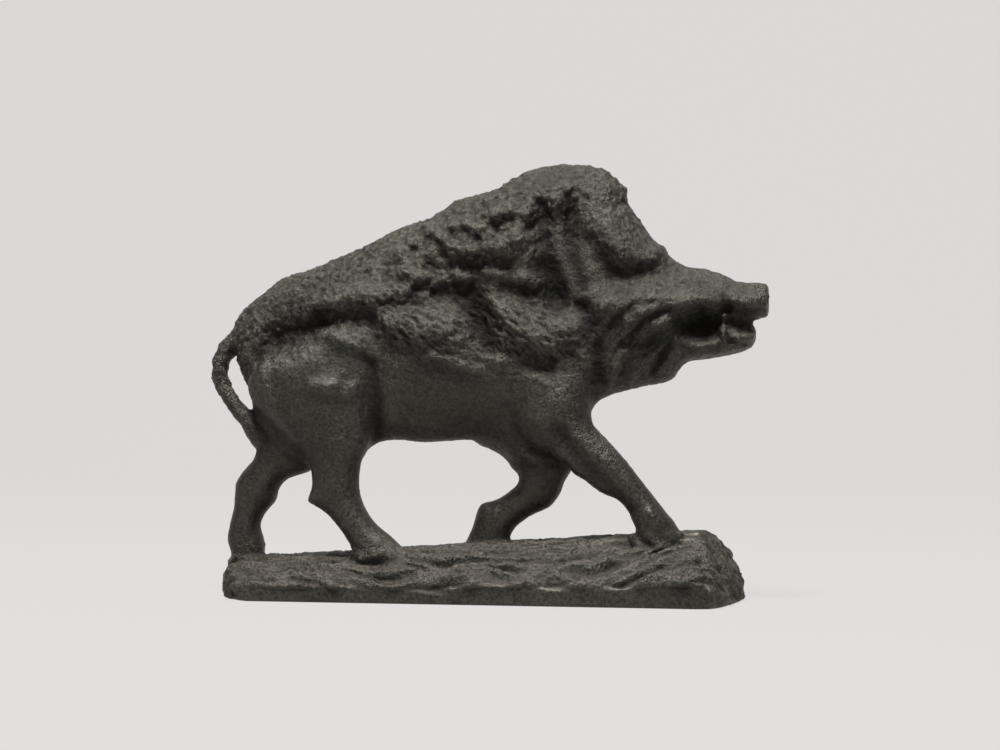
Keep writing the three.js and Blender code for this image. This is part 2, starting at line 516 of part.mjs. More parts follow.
// Thins a closed mesh to a number of triangles. It collapses the edge that moves the surface least, again
// and again, by quadric error, and leaves out a collapse that would fold the surface or join two sheets.
function thin({ points, triangles }, target) {
  const position = points.map((p) => new THREE.Vector3(...p));
  const faces = triangles.map((t) => [...t]);
  const around = position.map(() => new Set());
  faces.forEach((corners, f) => corners.forEach((v) => around[v].add(f)));
  const normalOf = ([a, b, c], moved = -1, to = null) => {
    const [p, q, r] = [a, b, c].map((v) => (v === moved ? to : position[v]));
    return q.clone().sub(p).cross(r.clone().sub(p));
  };

  // A quadric is the ten numbers of the sum of squared distances to the planes of the faces round a point.
  const quadric = position.map(() => new Float64Array(10));
  for (const corners of faces) {
    const normal = normalOf(corners);
    const area = normal.length() / 2;
    normal.normalize();
    const { x, y, z } = normal;
    const w = -normal.dot(position[corners[0]]);
    const plane = [x * x, x * y, x * z, x * w, y * y, y * z, y * w, z * z, z * w, w * w];
    for (const v of corners) plane.forEach((term, i) => (quadric[v][i] += term * area));
  }
  const error = (q, { x, y, z }) =>
    q[0] * x * x + 2 * q[1] * x * y + 2 * q[2] * x * z + 2 * q[3] * x + q[4] * y * y +
    2 * q[5] * y * z + 2 * q[6] * y + q[7] * z * z + 2 * q[8] * z + q[9];

  // The point that a collapsed edge moves to, and what that costs. Long edges cost a little more.
  const plan = (a, b) => {
    const q = quadric[a].map((term, i) => term + quadric[b][i]);
    const [p, r] = [position[a], position[b]];
    const middle = p.clone().add(r).multiplyScalar(0.5);
    const pull = STEADY * (q[0] + q[4] + q[7]);
    const matrix = new THREE.Matrix3().set(
      q[0] + pull, q[1], q[2],
      q[1], q[4] + pull, q[5],
      q[2], q[5], q[7] + pull,
    );
    const right = new THREE.Vector3(-q[3], -q[6], -q[8]).addScaledVector(middle, pull);
    const to = right.applyMatrix3(matrix.invert());
    const length = p.distanceTo(r);
    if (!(to.distanceTo(middle) < FARTHEST * length)) to.copy(middle);
    return { a, b, to, cost: Math.max(error(q, to), 0) + LENGTH_COST * length * length };
  };

  const version = new Uint32Array(position.length);
  const queue = new Queue();
  const offer = (a, b) => queue.push({ ...plan(a, b), versions: [version[a], version[b]] });
  const neighbours = (v) => {
    const found = new Set();
    for (const f of around[v]) for (const n of faces[f]) if (n !== v) found.add(n);
    return found;
  };
  position.forEach((_, v) => neighbours(v).forEach((n) => n > v && offer(v, n)));

  // Whether the faces round v stay upright and stay real triangles when v moves.
  const holds = (v, other, to) => {
    for (const f of around[v]) {
      const corners = faces[f];
      if (corners.includes(other)) continue;
      const before = normalOf(corners);
      const after = normalOf(corners, v, to);
      const sides = corners.map((n, i) => {
        const [p, q] = [n, corners[(i + 1) % 3]].map((m) => (m === v ? to : position[m]));
        return p.distanceToSquared(q);
      });
      if (after.length() < LEAST_SHAPE * Math.max(...sides)) return false;
      if (after.dot(before) < LEAST_TURN * after.length() * before.length()) return false;
    }
    return true;
  };

  let left = faces.length;
  while (left > target && queue.size) {
    const { a, b, to, versions } = queue.pop();
    if (version[a] !== versions[0] || version[b] !== versions[1]) continue;
    const beside = neighbours(a);
    const shared = [...neighbours(b)].filter((n) => beside.has(n));
    if (shared.length !== 2 || !holds(a, b, to) || !holds(b, a, to)) continue;
    position[a].copy(to);
    quadric[b].forEach((term, i) => (quadric[a][i] += term));
    for (const f of around[b]) {
      if (faces[f].includes(a)) {
        faces[f].forEach((v) => v !== b && around[v].delete(f));
        faces[f] = null;
        left -= 1;
      } else {
        faces[f] = faces[f].map((v) => (v === b ? a : v));
        around[a].add(f);
      }
    }
    around[b].clear();
    version[a] += 1;
    version[b] += 1;
    neighbours(a).forEach((n) => offer(a, n));
  }
  return { position, faces: faces.filter(Boolean) };
}

// The finished mesh as an indexed geometry, with its underside exactly flat.
function geometryOf({ position, faces }) {
  const used = new Map();
  const coordinates = [];
  const index = faces.flat().map((v) => {
    if (!used.has(v)) {
      used.set(v, used.size);
      const { x, y, z } = position[v];
      coordinates.push(x, y, Math.abs(z) < FLAT_WITHIN ? 0 : z);
    }
    return used.get(v);
  });
  const geometry = new THREE.BufferGeometry();
  geometry.setAttribute("position", new THREE.Float32BufferAttribute(coordinates, 3));
  geometry.setIndex(index);
  geometry.computeVertexNormals();
  return geometry;
}

const iron = new THREE.MeshStandardMaterial({ color: 0x3b3a37, roughness: 0.55, metalness: 0.35 });
const figure = new THREE.Mesh(geometryOf(thin(surface(sample()), TRIANGLES)), iron);
figure.name = "boar_figure";

// The figure's own box is centred on the origin.
figure.geometry.computeBoundingBox();
const middle = figure.geometry.boundingBox.getCenter(new THREE.Vector3());
figure.geometry.translate(-middle.x, -middle.y, 0);

const boar = new THREE.Group();
boar.add(figure);
export default boar;
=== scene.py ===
# Looks of the cast iron boar: its surface sculpted finely on the frame's form, the iron, the light and the
# camera. The form is the same field as in the part's source, a depth in the iron at each point, in
# millimetres. Here it is meshed finely, and fur, locks and casting grain then push its points out and in.
import math

import bpy
import numpy as np
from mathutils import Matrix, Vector


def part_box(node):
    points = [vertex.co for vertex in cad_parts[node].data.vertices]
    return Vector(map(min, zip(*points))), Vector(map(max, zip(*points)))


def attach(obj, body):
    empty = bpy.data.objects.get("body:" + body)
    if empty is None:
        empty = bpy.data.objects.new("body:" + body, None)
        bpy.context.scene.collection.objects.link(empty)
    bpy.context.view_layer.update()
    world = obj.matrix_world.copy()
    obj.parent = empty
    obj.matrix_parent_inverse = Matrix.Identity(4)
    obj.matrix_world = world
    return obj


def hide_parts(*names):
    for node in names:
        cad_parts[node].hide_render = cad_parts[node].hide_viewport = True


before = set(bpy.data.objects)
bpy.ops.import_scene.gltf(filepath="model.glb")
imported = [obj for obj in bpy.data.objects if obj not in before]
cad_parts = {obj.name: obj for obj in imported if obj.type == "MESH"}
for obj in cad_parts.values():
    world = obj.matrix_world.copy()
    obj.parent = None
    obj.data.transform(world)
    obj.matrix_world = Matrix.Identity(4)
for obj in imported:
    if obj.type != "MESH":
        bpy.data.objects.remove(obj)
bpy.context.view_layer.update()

MM = 0.001

# Sizes of the casting as a whole, in millimetres.
GROUND_HALF_DEPTH = 24
SIDE_DRAFT = 0.05
BAND = {"rear": 4.6, "rise": 0.02}
CROWN = {"rear": 13.6, "rise": 0.0706}
GROUND_REAR = -99

# How softly the pieces of the form run into each other, and how far above the ground the feet blend in.
LIMB_BLEND = 5
EAR_BLEND = 3
FOOT_BLEND = 2.4
FOOT_BLEND_REACH = 4
TAIL_BLEND = 1.5
GROUND_EDGE_BLEND = 1.6

# Carving fades out near the middle plane, so that it leaves the outline alone.
CARVING_FROM = 1.5
CARVING_FULL = 6

# The camera, in metres and degrees: level, at the height of the boar's chest, and turned towards its head.
LENS = 80
CAMERA_AZIMUTH = 10
CAMERA_DISTANCE = 0.844
CAMERA_HEIGHT = 0.0852
CAMERA_AIM_X = 0.006
CAMERA_SEES_FROM = 0.05
CAMERA_SEES_TO = 20

# The paper sweep and the lights, in metres and watts.
FLOOR_FRONT = 3
FLOOR_BACK = 0.9
FLOOR_HALF_WIDTH = 4
SWEEP_RADIUS = 0.5
SWEEP_STEPS = 12
WALL_TOP = 4
PAPER = (0.034, 0.034, 0.033)
PAPER_GLOW = (1.0, 0.985, 0.955)
PAPER_GLOW_STRENGTH = 0.676
WORLD_COLOUR = (1, 0.995, 0.985)
WORLD_STRENGTH = 0.23
TOP_LIGHT = {"place": (-0.02, -0.38, 1.14), "size": (0.35, 0.3), "watts": 28}
TOP_LIGHT_AIM = (0, 0, 0.08)

# How metallic the dark skin of the iron looks.
METALLIC = 0.9

# The colours of the bare iron and of the dust on it, and the dark and light specks that both are given.
IRON_DARK = (0.032, 0.032, 0.027)
IRON_LIGHT = (0.054, 0.052, 0.044)
DUST = (0.1, 0.087, 0.075)
DARK_SPECKS = (0.6, 0.6, 0.6)
LIGHT_SPECKS = (1.45, 1.43, 1.38)

# The range of the noise over which the darker colour turns into the lighter one.
CLOUDS_BETWEEN = (0.3, 0.7)
SPECKS_BETWEEN = (0.36, 0.64)

# The iron's noise textures: how many grains to a metre, the detail and the roughness.
CLOUDS = (45, 4, 0.6)
GRAIN = (900, 4, 0.75)
PITTING = (380, 3, 0.6)

# How deep the bumps look, in metres.
PITTING_BUMP = 0.001
GRAIN_BUMP = 0.0007

# How the finish follows the surface: two values of the amount named last, and what each is turned into. The
# first two paint shade into the iron's colour: darker in hollows and in carved grooves, and lighter on
# crests as worn iron.
PAINTED_SHADE_AND_WEAR_BY_HOLLOW = (-0.3, 0.35, 1.5, 0.65)
PAINTED_SHADE_BY_CARVING = (-4.5, -0.5, 0.36, 1)
DUST_BY_GRAIN = (0.35, 0.6, 0.45, 1)
ROUGHNESS_BY_GRAIN = (0.35, 0.65, 0.27, 0.52)
ROUGHNESS_BY_HOLLOW = (-0.3, 0.4, -0.05, 0.22)
ROUGHNESS_BY_COARSENESS = (0.3, 1, 0.14, 0)

# Places on the flanks with a finish of their own: the middle's x and z, the half width and the half height.
HAUNCH = (-62, 80, 22, 20)
LOWER_FLANK = (0, 74, 42, 16)
RIBS = (-20, 105, 24, 14)
SHOULDER = (22, 100, 20, 14)
CHEEK = (60, 103, 15, 17)
MANE = (0, 134, 30, 18)

# Where other places fade in, in millimetres along x or z. The back is above a line that rises to the head.
BACK_RISE = 0.42
BACK_FADE = (112, 132)
HEAD_FADE_X = (44, 54)
HEAD_FADE_Z = (112, 122)
BODY_FADE = (45, 66)
DUSTY_BACK_FADE = (62, 92)
UNDERSIDE_FADE = (0.2, 1.2)
END_FADE = (80, 86)

# Where a surface counts as facing an end of the ground, or as facing up, by its normal.
FACING_END = (0.35, 0.6)
FACING_UP = (0.05, 0.9)

# How the animal fades into the ground, in millimetres above the ground's crown, for relief and for dust.
RELIEF_FADE = (-1.5, 2.5)
DUST_FADE = (-1, 5)

# How the earth fades in above its upright band, and how far above the band it has surely ended.
EARTH_FADE = (0, 1.5)
EARTH_EDGE_FADE = (-0.5, 0.5)
ABOVE_EARTH_FADE = (14, 18)

# The animal's patterns: the seed of the noise and the size of a grain, in millimetres.
ROUGH = {"seed": 1, "size": 2.3}
FINE = {"seed": 2, "size": 1.2}
UNEVEN = {"seed": 10, "size": 8}
LUMPS = {"seed": 6, "size": 4.2}
BRISTLES = {"seed": 3, "degrees": 24, "long": 6.5, "wide": 1.7, "deep": 3}
FUR = {"seed": 4, "degrees": -34, "long": 6, "wide": 1.5, "deep": 4}
CHEEK_FUR = {"seed": 5, "degrees": 50, "long": 7, "wide": 1.8, "deep": 4}

# How far each pattern pushes the surface out at each place of the animal, in millimetres.
RELIEF = {
    "everywhere": {"rough": 0.2, "fine": 0.2, "uneven": 0.3},
    "back": {"lumps": 0.3, "rough": 0.3, "fine": 0.32},
    "ribs": {"fur": 0.55, "lumps": 0.25, "rough": 0.1},
    "mane": {"lumps": 0.25, "bristles": 0.35, "rough": 0.1},
    "cheek": {"cheek fur": 0.35},
    "head": {"lumps": 0.15, "rough": 0.15, "fine": 0.1},
}

# How much of the grain and of the relief is gone where the casting is smooth.
SMOOTHED_GRAIN = 0.7
SMOOTHED_RELIEF = 0.5

# The ground's patterns: the size of a grain along x, across and up, and how high it stands, in millimetres.
FLOWS = {"seed": 21, "size": (20, 3.8, 9), "height": 1.15}
RILLS = {"seed": 12, "size": (13, 1.8, 5), "height": 0.35}
CLODS = {"seed": 8, "size": (6, 4, 4), "height": 0.3}

# How far open earth stands above the plain form, and how rough it and its band are, in millimetres.
EARTH_HEIGHT = 0.5
EARTH_ROUGHNESS = 0.14
BAND_ROUGHNESS = 0.06

# The streaks on the ground fall towards the viewer at the rear and rise away from them in front.
FLOW_BEND = 0.002
FLOW_WANDER = {"seed": 11, "size": 16, "height": 3}

# How the lower edge of the open earth wanders up and down along the band, in millimetres.
EDGE_WANDER = {"seed": 13, "size": 7, "height": 0.9}
EDGE_ROUGHNESS = 0.5

# How thickly the dust lies, from 0 to 1, and the patches that it lies in.
DUST_ON_BACK = 0.32
DUST_ON_EARTH = {"all over": 0.25, "facing up": 0.5, "ends": 0.4}
DUST_PATCHES = {"seed": 9, "size": 9, "height": 0.5}
DUST_BETWEEN_PATCHES = 0.5
DUST_IN_PATCHES = 0.9

# The grid that the field is sampled on, in millimetres, and about how many triangles the fine mesh keeps.
CELL = 0.8
BOX_LOW = (-110.0, -26.8, -0.4)
BOX_HIGH = (110.0, 26.8, 167.0)
FACES = 195000

# How many times a copy of the surface is smoothed, to tell the hollows from the crests.
SMOOTHINGS = 14

# Padded shapes seen from the near side: the y of the middle plane, the swell and the outline in x and z.
SHAPES = {
    "trunk": (0, 7, [
        (-98, 105), (-93.5, 111.5), (-88, 116), (-78.5, 122.5), (-66.5, 126.5), (-50, 133), (-33, 141),
        (-21, 145), (-11.5, 151), (5, 156), (13, 160.5), (23.5, 164), (33, 164.5), (44.5, 163),
        (50.5, 159), (54.2, 154.5), (54.8, 150), (59, 144), (65, 135.5), (68.5, 133), (72, 128.5),
        (76, 126), (85, 124.5), (90, 123), (96, 120), (105, 119), (107, 117), (107, 110), (105.5, 107),
        (101.5, 105), (103, 101), (102, 96.5), (98, 94), (86.5, 91.5), (76.5, 89.5), (71.5, 83.5),
        (61.5, 81), (48, 77.5), (43, 74.5), (40, 70), (39, 63.5), (33, 56), (21.5, 52.5), (12, 54.5),
        (5, 59), (-3.5, 60.5), (-21, 59.5), (-39, 60), (-48, 55.5), (-58.5, 50), (-67.5, 51.5),
        (-77, 58), (-86.5, 66), (-91, 75), (-93.5, 81.5), (-96, 88), (-98, 95),
    ]),
    "near hind leg": (-9, 7, [
        (-89.5, 78.5), (-88, 86.5), (-82, 93), (-72, 97.5), (-60, 99), (-50.5, 96.5), (-43.5, 90),
        (-41, 79.5), (-41.5, 68), (-43, 58), (-46, 52), (-46.8, 45.5), (-46.3, 39.5), (-44.3, 34.5),
        (-40, 28.5), (-34.5, 24), (-30, 20), (-27, 15), (-31, 11.5), (-44.5, 10.5), (-49, 14),
        (-49, 18.5), (-52.5, 24.5), (-56, 29), (-59.5, 32.5), (-64, 35.5), (-66.5, 37), (-65, 42.5),
        (-65, 47.5), (-67, 54.5), (-73, 62), (-82, 69.5),
    ]),
    "far hind leg": (5, 7, [
        (-89.5, 75.5), (-89.5, 82), (-84, 90.5), (-74, 96), (-61, 97.5), (-50.5, 91.5), (-48, 82),
        (-51, 70.5), (-57, 61), (-63, 53.5), (-69.5, 48), (-73.5, 46.5), (-78, 45), (-82, 41.5),
        (-83.5, 36.5), (-87, 32.5), (-89, 29), (-89.7, 26), (-88.6, 22), (-88, 18.5), (-88.5, 14.5),
        (-86.5, 10), (-94.5, 7.5), (-100.5, 9.5), (-101, 16), (-102.5, 21.5), (-101.5, 27.5),
        (-100, 33.5), (-99.5, 39.5), (-99, 43.5), (-96.5, 47.5), (-92.5, 52), (-91, 55.5), (-92.5, 60),
        (-96, 65.5),
    ]),
    "near foreleg": (-8, 7, [
        (41.5, 71), (42.5, 67), (47, 62), (53.5, 55), (62, 44.5), (69, 35.5), (73.5, 30), (75.5, 25.5),
        (73.5, 20.5), (64, 18), (58, 21), (57.5, 24.5), (59, 27.5), (56.5, 32), (52.5, 37), (45.5, 41),
        (39.5, 45.5), (35.5, 48), (30, 52), (23, 58), (16.5, 67), (14.5, 77.5), (17.5, 87),
        (25.5, 91.5), (35, 89.5), (40, 81.5),
    ]),
    "far foreleg": (7, 7, [
        (-4, 60), (2.5, 56), (7.5, 52.5), (9.5, 49.5), (12, 47), (12, 44), (9, 41), (3.5, 37.5),
        (-2.4, 35.5), (-4.2, 32), (-5.7, 27), (-7.7, 22.5), (-9, 18.5), (-3, 15), (6.5, 15), (9.5, 19),
        (8.5, 22.5), (10.5, 26.5), (16, 31), (24, 35), (28, 40), (30, 45), (32.5, 49), (36, 56),
        (39, 66), (38, 78), (33, 87), (22, 90), (12.5, 85), (9, 75),
    ]),
}
EAR_OUTLINE = [
    (39, 118), (35, 126), (32, 136), (29.5, 146), (29, 152.5), (30.5, 156.5), (33.5, 156.5),
    (36, 151.5), (36.5, 141), (38.5, 130.5), (41.5, 121.5),
]
EAR_SWELL = 1.8
EAR_FOOT = {"z": 117, "y": 13}
EAR_LEAN = 0.1

# The tail's middle line, x, z and radius.
TAIL = [
    (-93.5, 101, 4.8), (-100, 96.5, 3.8), (-103.7, 91, 3.3), (-104.5, 85, 3.2), (-102.7, 79.5, 3),
    (-98.5, 73.5, 3), (-93, 67.5, 3.4), (-88, 61, 4.5),
]

DISC = {"x": 103.2, "z": 112.8, "radius": 6.2, "half_length": 4, "round": 1.2}
NOSTRIL = {"z": 113.4, "y": 2.5, "radius": 1.5, "round": 0.5}

# Strokes of carving on the flanks: a path of x, z and half width, and how far its widest place stands out.
CARVING = {
    "hip ridge": (
        [
            (-67.5, 107.5, 2.4), (-63, 111.5, 3.6), (-56, 113, 4.6), (-48, 115.5, 5), (-39, 116, 4.4),
            (-29, 116, 3),
        ],
        3,
    ),
    "hip hollow": ([(-85, 93, 4), (-78.5, 98.5, 7), (-71.5, 101.5, 7), (-62, 103.5, 5)], -3.6),
    "under hip": ([(-61.5, 106.5, 3.4), (-50.5, 107, 4), (-41, 105, 3.4)], -1.7),
    "thigh top": ([(-60.5, 101, 2.4), (-52.5, 99.5, 3.6), (-46, 97, 3.6), (-41, 94, 2.4)], 2),
    "thigh": ([(-63.5, 75.5, 9), (-56, 73.5, 10)], 0.4),
    "thigh knob": ([(-62, 81, 3), (-55, 80.5, 4)], 1.4),
    "thigh spot": ([(-49, 77.5, 2), (-46.5, 80.5, 2.4)], 0.8),
    "rump rim": ([(-83, 94, 2.2), (-83, 83.5, 2.6), (-78.5, 71, 3), (-72.5, 60.5, 3)], 0.9),
    "flank fold": ([(-42.5, 95.5, 2.4), (-40.5, 88, 3.6), (-39.5, 76, 4.2), (-40, 62, 3)], -1.5),
    "ribs": ([(-30.5, 105, 6), (-20.5, 101.5, 8), (-11, 101, 6.4)], 3),
    "low ribs": ([(-16.5, 92, 2.8), (-8, 89.5, 3.4), (-1, 87, 2)], 1.3),
    "rear ribs": ([(-39.5, 112.5, 1.8), (-34, 105, 2.4), (-29, 97, 1.8)], 1.1),
    "rib streak": ([(-0.5, 94, 1.6), (8, 90.5, 2.2)], 1),
    "rib hollow": (
        [(-20.5, 115.5, 4), (-12, 115.5, 5.6), (-3.5, 114.5, 7), (0.5, 105, 7), (4, 94.5, 4.4)],
        -4.8,
    ),
    "shoulder hollow": ([(11, 117.5, 4), (20.5, 114.5, 6), (31.5, 112.5, 6.2), (39.5, 110.5, 4)], -3.4),
    "shoulder edge": ([(6, 113, 2.2), (11, 107, 3.2), (17, 100.5, 4), (23.5, 96, 4), (30.5, 94.5, 3)], 1.8),
    "shoulder": ([(26.5, 99.5, 6), (33.5, 101, 5.4)], 2.2),
    "under the shoulder": ([(7, 97.5, 3), (14.5, 91, 4), (27, 88, 4)], -0.9),
    "mane": ([(-12.5, 136, 8), (5, 141, 13), (16, 135.5, 13)], 2),
    "under the mane": ([(-19, 126, 3), (-11, 126, 4), (-1, 126, 4)], -1.4),
    "mane edge": ([(3.5, 126.5, 3), (13, 125.5, 4.4), (25.5, 123.5, 5.4), (32, 117.5, 4)], -1.8),
    "ear groove": ([(23.5, 148, 3), (24, 142, 5), (25, 133, 5.6), (27, 122.5, 5.6), (29, 113, 4)], -5),
    "ear hollow": (
        [(34, 151.5, 2.4), (34.5, 145.5, 4.4), (35, 137, 5), (36.5, 127, 4.4), (39, 118, 3)],
        -4,
    ),
    "ear tip": ([(26, 154, 3.4), (29.5, 149, 2.6)], 1),
    "crest": ([(41.5, 156.5, 4), (47, 153.5, 4.4)], 1.2),
    "brow": ([(48.5, 138, 6.4), (55, 133, 7.4), (62, 131, 5)], 3.2),
    "temple": ([(42.5, 135, 3.6), (46, 129, 4.4), (50.5, 124, 3.6)], -2.2),
    "brow edge": ([(52, 128, 1.8), (59, 127.5, 2.4), (65.5, 128.5, 2)], 0.8),
    "eye furrow": ([(43, 120.5, 3.4), (54.5, 122, 5), (65.5, 123.5, 4.6), (73, 125, 2.8)], -1.7),
    "snout side": ([(61, 113, 5), (76, 112.5, 5), (89, 112.5, 4.4)], 2.8),
    "snout end": ([(95.5, 112.5, 3.4), (103.5, 112.5, 3)], 1.6),
    "snout notch": ([(91.5, 114, 1.6), (93, 110.5, 1.8)], -1.6),
    "cheek": ([(49, 110.5, 5), (62, 107, 6), (70, 104, 4)], 2.6),
    "cheek furrow, high": (
        [(66.5, 112, 1.1), (59.5, 110.5, 1.4), (54, 107.5, 1.4), (49.5, 102.5, 1.1)],
        -1,
    ),
    "cheek furrow, low": ([(72, 109.5, 1.1), (66.5, 107.5, 1.4), (61.5, 104, 1.4), (57.5, 99, 1.1)], -1.1),
    "cheek lock, high": ([(67.5, 109.5, 1.2), (61.5, 107.5, 1.6), (56.5, 103.5, 1.6), (53, 99, 1)], 0.9),
    "cheek lock, low": ([(71, 105, 1.4), (66.5, 102, 2), (62, 99, 1.4)], 1.2),
    "cheek lock, rear": ([(54.5, 114, 1.2), (49, 112, 1.7), (45.5, 108, 1.2)], 1.1),
    "cheek lock, back": ([(49, 106.5, 1.1), (46, 102.5, 1.5), (43, 97.5, 1)], 0.9),
    "neck furrow": ([(39, 111, 2.6), (42, 103.5, 4), (44.5, 94.5, 4.2), (45, 84, 2.6)], -2.2),
    "under the cheek": ([(54.5, 97, 2.4), (63.5, 97, 3), (71.5, 99.5, 2.6), (75.5, 104.5, 1.8)], -1.1),
    "throat lock, front": ([(66.5, 93.5, 1), (61, 88.5, 1.8), (56.5, 82.5, 1)], 1),
    "throat lock, back": ([(55.5, 93.5, 1), (51.5, 88, 1.8), (48.5, 81, 1)], 1),
    "jaw": ([(72, 92, 2.4), (84, 93.5, 3), (96.5, 96, 2.4)], 1.3),
    "jaw fold": ([(71.5, 96, 1.2), (68.5, 91.5, 1.9), (64.5, 86, 1.2)], -1.6),
    "mouth recess": ([(77.5, 103.5, 4.4), (84.5, 105.5, 6), (90.5, 108, 4.4)], -2.6),
    "mouth pit": ([(80.5, 103, 3.8), (84, 103.5, 5.2), (87.5, 104, 4.2)], -3.2),
    "mouth rim": ([(77.5, 97.5, 1.3), (83, 96, 1.8), (89, 97.5, 1.3)], 0.9),
    "mouth gap": ([(91.5, 104.5, 2), (98, 104, 2.8), (105, 103.5, 2.4)], -3),
    "under the snout": ([(91, 109.5, 1.8), (98.5, 108.5, 2.2), (104, 108.5, 1.6)], -1.6),
    "tusk": ([(91.5, 99, 1.3), (91, 103, 1.8), (91.5, 107, 1.3)], 3),
    "lip": ([(96.5, 99, 1.8), (101.5, 99.5, 1.8)], 1.3),
    "lip fold": ([(94, 97.5, 0.8), (98.5, 96.5, 1)], -0.9),
    "breast": ([(31.5, 76, 6), (25.5, 68.5, 7)], 1),
    "fetlock": ([(65, 34.5, 1.8), (67.5, 31, 2.2)], 0.9),
    "brow top": ([(46, 147.5, 6), (52, 144, 6)], 1.4),
}

# Strokes that only the near flank has.
NEAR_CARVING = {
    "foreleg hollow": ([(19, 56.5, 2), (25.5, 53, 4), (33.5, 50, 2)], -1.8),
    "foreleg flat": ([(31.5, 63.5, 3.6), (43, 50, 4.4), (57.5, 35.5, 3.6)], -1.3),
}

# The tufts of the mane and the pits between them: x, z and radius.
TUFTS = [
    (-15.5, 138, 2.8), (-12.5, 135.5, 2.4), (-8, 132.5, 3.2), (-2.5, 131, 3.2), (4, 133, 3.8),
    (10, 132, 3.8), (6.5, 145.5, 4), (11.5, 147.5, 3.6), (1, 139.5, 3), (-4.5, 143, 2.8),
    (-10, 141.5, 2.6), (-20, 140.5, 2.8), (-25.5, 136.5, 2.8), (-30.5, 131.5, 2.6), (3.5, 124, 2.2),
    (8.5, 123, 2.4), (17.5, 121.5, 2.8), (22, 120, 3), (-7.5, 122, 2.2), (-4, 121.5, 2.2),
    (-28, 124.5, 3.4), (-23, 122, 3), (-26, 117.5, 3), (-20.5, 115, 2.4), (15.5, 136, 3.2),
    (18.5, 145.5, 3.2),
]
PITS = [
    (7.5, 138, 2.2), (0.5, 135.5, 1.8), (-19, 127.5, 1.8), (-13.5, 130, 1.8),
]

# A tuft hangs over a hollow of its own. These are shares of the tuft's radius, and of the pit's.
TUFT = {"height": 0.55, "hollow_depth": 0.2, "hollow_below": 1.25, "hollow_radius": 0.75}
PIT_DEPTH = 0.3

# The ground's outline in plan, and how its two ends draw back above and below their widest level.
GROUND_OUTLINE = [
    (-88.5, -24), (-85.5, -24), (80, -24), (83, -24), (87.5, -23), (90.5, -19), (93.3, -10),
    (95.6, 0.5), (96.8, 11), (96.2, 19), (91.5, 24), (88.5, 24), (-85, 24), (-88, 24), (-94, 21),
    (-98, 14), (-99.5, 6), (-99.6, -3), (-98.3, -12), (-94.5, -19.5),
]
FRONT_END = {"widest": 0, "bend": 0.017}
REAR_END = {"widest": 6, "bend": 0.04}

# Ridges and furrows on the ground, in plan: a path of x, y and half width, and a height.
GROUND_CARVING = [
    ([(-84, -19, 1.2), (-69, -14, 1.6), (-52, -11, 1.2)], -1.1),
    ([(-51, -16, 1.2), (-31, -21, 1.8), (-12, -24, 1.6)], -1.7),
    ([(-23, -15.5, 1.4), (-16, -21, 2.2), (-10, -24, 1.6)], -1.8),
    ([(-47, -12, 1.4), (-29, -16, 2), (-8, -22, 1.6)], 1),
    ([(-86, -21.5, 1.2), (-71, -19.5, 1.8), (-55, -21, 1.2)], 0.8),
    ([(-1, -14, 1.4), (15, -19, 1.9), (33, -23, 1.2)], -1.3),
    ([(-7, -18, 1.6), (7, -22, 2.2), (18, -24, 1.4)], 0.9),
    ([(28, -23, 1.2), (43, -20, 1.9), (61, -16, 1.4)], -1.5),
    ([(44, -24, 1.4), (62, -20, 2.1), (83, -17, 1.4)], -1.6),
    ([(47, -22, 1.6), (65, -18, 2.4), (80, -16, 1.6)], 1),
    ([(16, -15, 1.4), (42, -14.5, 2), (61, -11, 1.2)], -1.1),
    ([(66, -23, 1.6), (80, -21, 2.6)], 1),
    ([(83, -17, 2.4), (88, -21, 4)], -2.6),
    ([(-80, 18, 1.4), (-50, 14, 2.4), (-24, 17, 1.4)], -1.2),
    ([(-10, 12, 1.4), (20, 19, 2.4), (48, 13, 1.4)], -1.2),
    ([(30, 20, 2), (66, 17, 2.8)], 1),
]

# How the form's field is worked out: the pieces to a curve's span, and the depth far from the iron.
SPAN_STEPS = 5
OUTSIDE = -20
TINY = 1e-9

# The noise: how many directions it draws, how far it is stretched to reach 1, and how sharp its crests are.
NOISE_WAYS = 256
NOISE_STRETCH = 1.6
CREST_SHARPNESS = 3.2


def join(a, b, k):
    """Two depths joined as one body, rounded over the length k where they meet."""
    near = np.maximum(k - np.abs(a - b), 0) / k
    return np.maximum(a, b) + near * near * k / 4


def common(a, b, k):
    """What two depths have in common, rounded in the same way."""
    return -join(-a, -b, k)


def smoothstep(v, low, high):
    """A smooth rise from 0 at the low value to 1 at the high one."""
    t = np.clip((v - low) / (high - low), 0, 1)
    return t * t * (3 - 2 * t)


def smooth_ring(outline):
    """A closed centripetal Catmull-Rom curve through the outline, counter-clockwise, as points."""
    here = np.array(outline, float)
    before = np.roll(here, 1, 0)
    after = np.roll(here, -1, 0)
    beyond = np.roll(here, -2, 0)
    pairs = ((before, here), (here, after), (after, beyond))
    back, along, ahead = (np.sqrt(np.hypot(*(b - a).T))[:, None] for a, b in pairs)
    start = ((here - before) / back - (after - before) / (back + along) + (after - here) / along) * along
    end = ((after - here) / along - (beyond - here) / (along + ahead) + (beyond - after) / ahead) * along
    spans = []
    for t in np.arange(SPAN_STEPS) / SPAN_STEPS:
        cubic = (2 * here - 2 * after + start + end) * t**3
        square = (-3 * here + 3 * after - 2 * start - end) * t**2
        spans.append(cubic + square + start * t + here)
    ring = np.stack(spans, 1).reshape(-1, 2)
    following = np.roll(ring, -1, 0)
    area = np.sum(ring[:, 0] * following[:, 1] - following[:, 0] * ring[:, 1]) / 2
    return ring if area > 0 else ring[::-1]


